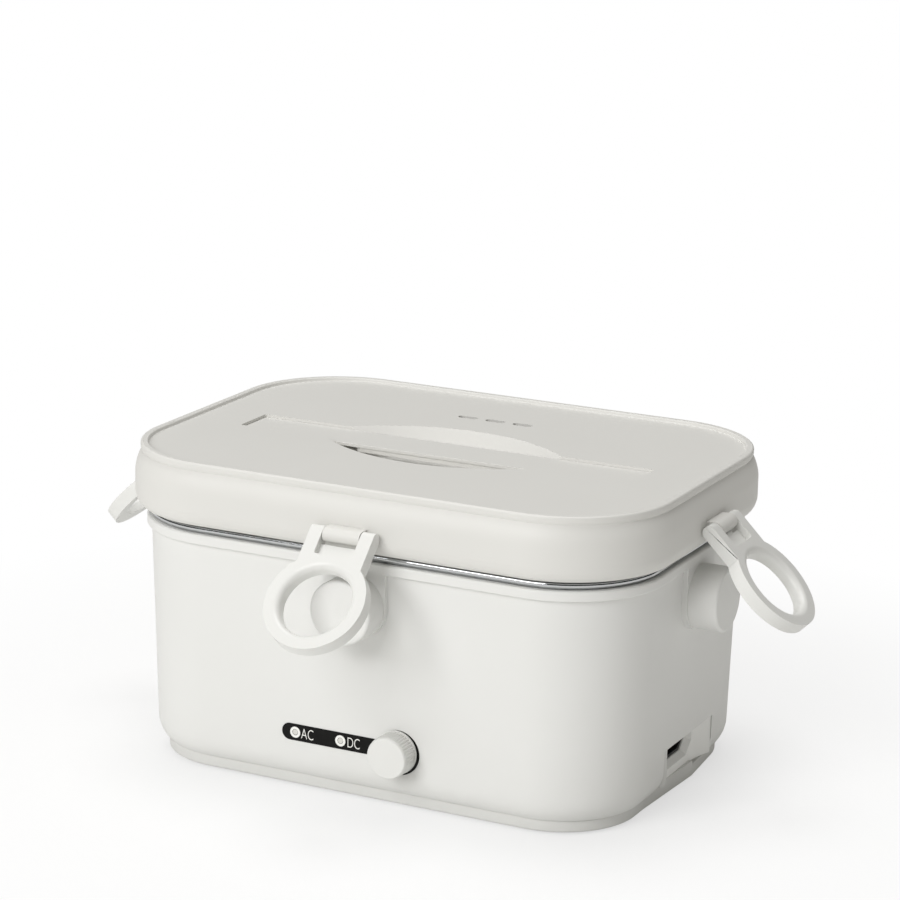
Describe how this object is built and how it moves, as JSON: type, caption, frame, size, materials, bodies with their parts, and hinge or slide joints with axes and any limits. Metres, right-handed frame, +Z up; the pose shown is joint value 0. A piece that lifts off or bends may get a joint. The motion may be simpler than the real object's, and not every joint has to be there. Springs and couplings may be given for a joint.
{
  "type": "electric lunch box",
  "caption": "Electric lunch box: heated body with a lift-out steel pot, clear inner lid with vent plug, and a lift-off lid held by hinged ring latches.",
  "frame": {"origin": "on the table, under the middle of the feet", "axes": "+X to the right along the long side, +Y to the back, +Z up; the dial and the lights face -Y and the power inlet faces +X"},
  "size_m": [0.3388, 0.2688, 0.14],
  "materials": {
    "body_plastic": "matte warm white moulded polypropylene",
    "lid_plastic": "matte warm white moulded polypropylene",
    "latch_plastic": "satin warm white moulded plastic",
    "well_plastic": "heat-proof pale plastic",
    "strip_black": "satin black printed strip",
    "light_lens": "clear white lens",
    "dark_plastic": "black moulded plastic",
    "pot_steel": "polished rim, drawn stainless steel inside",
    "plate_metal": "cast aluminium heat plate",
    "screw_steel": "zinc-plated steel",
    "silicone": "warm grey silicone, satin",
    "clear_panel": "clear plastic panel",
    "foot_rubber": "dark rubber",
    "brass_pin": "brass contact pin",
    "board_green": "green circuit board",
    "wire_sheath": "silicone sheathed wire"
  },
  "bodies": {
    "base": {"outer_shell": "body_plastic", "base_cover": "body_plastic", "rubber_feet": "foot_rubber", "base_screws": "screw_steel", "heating_well": "well_plastic", "heat_plate": "plate_metal", "ptc_heater_mains": "plate_metal", "ptc_heater_car": "plate_metal", "heater_clamp": "screw_steel", "clamp_screws": "screw_steel", "thermostat": "dark_plastic", "thermal_fuse": "dark_plastic", "control_board": "board_green", "indicator_leds": "light_lens", "indicator_lenses": "light_lens", "control_strip": "strip_black", "rotary_switch": "dark_plastic", "latch_post_front": "body_plastic", "latch_post_right": "body_plastic", "latch_post_back": "body_plastic", "latch_post_left": "body_plastic", "inlet_housing": "well_plastic", "inlet_socket": "dark_plastic", "inlet_pins": "brass_pin", "wire_live": "wire_sheath", "wire_switched": "wire_sheath", "wire_return": "wire_sheath"},
    "dial": {"dial": "latch_plastic", "dial_shaft": "screw_steel"},
    "pot": {"pot": "pot_steel"},
    "inner_lid": {"inner_lid_panel": "clear_panel", "inner_lid_gasket": "silicone"},
    "vent_plug": {"vent_plug": "silicone"},
    "lid": {"lid_shell": "lid_plastic", "lid_liner": "well_plastic", "press_ring": "well_plastic", "lid_screws": "screw_steel", "grip": "lid_plastic", "hinge_pin_front": "screw_steel", "hinge_pin_right": "screw_steel", "hinge_pin_back": "screw_steel", "hinge_pin_left": "screw_steel"},
    "front_latch": {"latch_front": "latch_plastic"},
    "right_latch": {"latch_right": "latch_plastic"},
    "back_latch": {"latch_back": "latch_plastic"},
    "left_latch": {"latch_left": "latch_plastic"}
  },
  "joints": [
    {"name": "pot_lift", "type": "slide", "parent": "base", "child": "pot", "axis": [0, 0, 1], "range_m": [0, 0.08]},
    {"name": "inner_lid_lift", "type": "slide", "parent": "pot", "child": "inner_lid", "axis": [0, 0, 1], "range_m": [0, 0.046]},
    {"name": "vent_plug_pull", "type": "slide", "parent": "inner_lid", "child": "vent_plug", "axis": [0, 0, 1], "range_m": [0, 0.004]},
    {"name": "lid_lift", "type": "slide", "parent": "inner_lid", "child": "lid", "axis": [0, 0, 1], "range_m": [0, 0.069]},
    {"name": "dial_turn", "type": "hinge", "parent": "base", "child": "dial", "pos_m": [0.019, -0.085, 0.0264], "axis": [0, -1, 0], "range_deg": [0, 270]},
    {"name": "front_latch_hinge", "type": "hinge", "parent": "lid", "child": "front_latch", "pos_m": [0, -0.094, 0.1205], "axis": [-1, 0, 0], "range_deg": [-45, 45]},
    {"name": "right_latch_hinge", "type": "hinge", "parent": "lid", "child": "right_latch", "pos_m": [0.129, 0, 0.1205], "axis": [0, -1, 0], "range_deg": [-45, 45]},
    {"name": "back_latch_hinge", "type": "hinge", "parent": "lid", "child": "back_latch", "pos_m": [0, 0.094, 0.1205], "axis": [1, 0, 0], "range_deg": [-45, 45]},
    {"name": "left_latch_hinge", "type": "hinge", "parent": "lid", "child": "left_latch", "pos_m": [-0.129, 0, 0.1205], "axis": [0, 1, 0], "range_deg": [-45, 45]}
  ]
}
